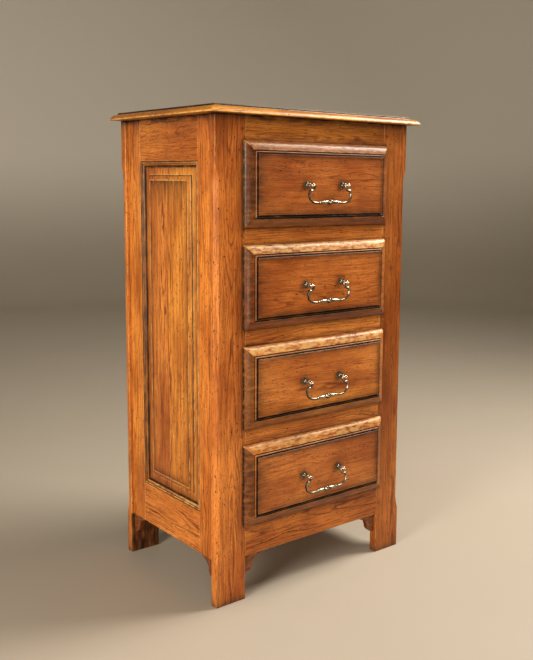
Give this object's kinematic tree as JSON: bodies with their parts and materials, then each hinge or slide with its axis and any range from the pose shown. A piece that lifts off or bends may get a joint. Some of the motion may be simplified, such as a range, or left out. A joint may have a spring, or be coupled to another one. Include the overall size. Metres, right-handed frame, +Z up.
{
  "type": "chest of drawers",
  "caption": "Tall narrow oak chest with lipped raised-field drawers, frame-and-panel sides, board legs with scrolled brackets and swinging bail pulls.",
  "frame": {"origin": "on the floor, under the middle of the whole object's box", "axes": "+Z up, the longest side; the drawers face -Y; +X to the right of someone facing the drawers"},
  "size_m": [0.594, 0.4464, 1.06],
  "materials": {
    "waxed_oak": "honey-brown stained oak under semi-gloss wax",
    "dark_oak": "darker stained oak, worn wax",
    "plain_oak": "unfinished oak, planed",
    "aged_pewter": "aged, burnished on the high spots"
  },
  "bodies": {
    "carcass": {"back_panel": "plain_oak", "back_stile_left": "waxed_oak", "back_stile_right": "waxed_oak", "bottom_web_frame": "waxed_oak", "front_bottom_rail": "waxed_oak", "front_bracket_left": "dark_oak", "front_bracket_right": "dark_oak", "front_stile_left": "waxed_oak", "front_stile_right": "waxed_oak", "front_top_rail": "waxed_oak", "side_bottom_rail_left": "waxed_oak", "side_bottom_rail_right": "waxed_oak", "side_bracket_back_left": "dark_oak", "side_bracket_back_right": "dark_oak", "side_bracket_front_left": "dark_oak", "side_bracket_front_right": "dark_oak", "side_panel_left": "waxed_oak", "side_panel_right": "waxed_oak", "side_stile_back_left": "waxed_oak", "side_stile_back_right": "waxed_oak", "side_stile_front_left": "waxed_oak", "side_stile_front_right": "waxed_oak", "side_top_rail_left": "waxed_oak", "side_top_rail_right": "waxed_oak", "top_board": "waxed_oak", "web_frame_1": "waxed_oak", "web_frame_2": "waxed_oak", "web_frame_3": "waxed_oak"},
    "drawer_1": {"drawer_1_back": "plain_oak", "drawer_1_bottom": "plain_oak", "drawer_1_front": "waxed_oak", "drawer_1_post_left": "aged_pewter", "drawer_1_post_right": "aged_pewter", "drawer_1_side_left": "plain_oak", "drawer_1_side_right": "plain_oak"},
    "bail_1": {"drawer_1_bail": "aged_pewter"},
    "drawer_2": {"drawer_2_back": "plain_oak", "drawer_2_bottom": "plain_oak", "drawer_2_front": "waxed_oak", "drawer_2_post_left": "aged_pewter", "drawer_2_post_right": "aged_pewter", "drawer_2_side_left": "plain_oak", "drawer_2_side_right": "plain_oak"},
    "bail_2": {"drawer_2_bail": "aged_pewter"},
    "drawer_3": {"drawer_3_back": "plain_oak", "drawer_3_bottom": "plain_oak", "drawer_3_front": "waxed_oak", "drawer_3_post_left": "aged_pewter", "drawer_3_post_right": "aged_pewter", "drawer_3_side_left": "plain_oak", "drawer_3_side_right": "plain_oak"},
    "bail_3": {"drawer_3_bail": "aged_pewter"},
    "drawer_4": {"drawer_4_back": "plain_oak", "drawer_4_bottom": "plain_oak", "drawer_4_front": "waxed_oak", "drawer_4_post_left": "aged_pewter", "drawer_4_post_right": "aged_pewter", "drawer_4_side_left": "plain_oak", "drawer_4_side_right": "plain_oak"},
    "bail_4": {"drawer_4_bail": "aged_pewter"}
  },
  "joints": [
    {"name": "drawer_1_slide", "type": "slide", "parent": "carcass", "child": "drawer_1", "axis": [0, -1, 0], "range_m": [0, 0.27]},
    {"name": "drawer_2_slide", "type": "slide", "parent": "carcass", "child": "drawer_2", "axis": [0, -1, 0], "range_m": [0, 0.27]},
    {"name": "drawer_3_slide", "type": "slide", "parent": "carcass", "child": "drawer_3", "axis": [0, -1, 0], "range_m": [0, 0.27]},
    {"name": "drawer_4_slide", "type": "slide", "parent": "carcass", "child": "drawer_4", "axis": [0, -1, 0], "range_m": [0, 0.27]},
    {"name": "bail_1_hinge", "type": "hinge", "parent": "drawer_1", "child": "bail_1", "pos_m": [0, -0.21525, 0.90013], "axis": [-1, 0, 0], "range_deg": [-22, 150]},
    {"name": "bail_2_hinge", "type": "hinge", "parent": "drawer_2", "child": "bail_2", "pos_m": [0, -0.21525, 0.68538], "axis": [-1, 0, 0], "range_deg": [-22, 150]},
    {"name": "bail_3_hinge", "type": "hinge", "parent": "drawer_3", "child": "bail_3", "pos_m": [0, -0.21525, 0.47063], "axis": [-1, 0, 0], "range_deg": [-22, 150]},
    {"name": "bail_4_hinge", "type": "hinge", "parent": "drawer_4", "child": "bail_4", "pos_m": [0, -0.21525, 0.25587], "axis": [-1, 0, 0], "range_deg": [-22, 150]}
  ]
}
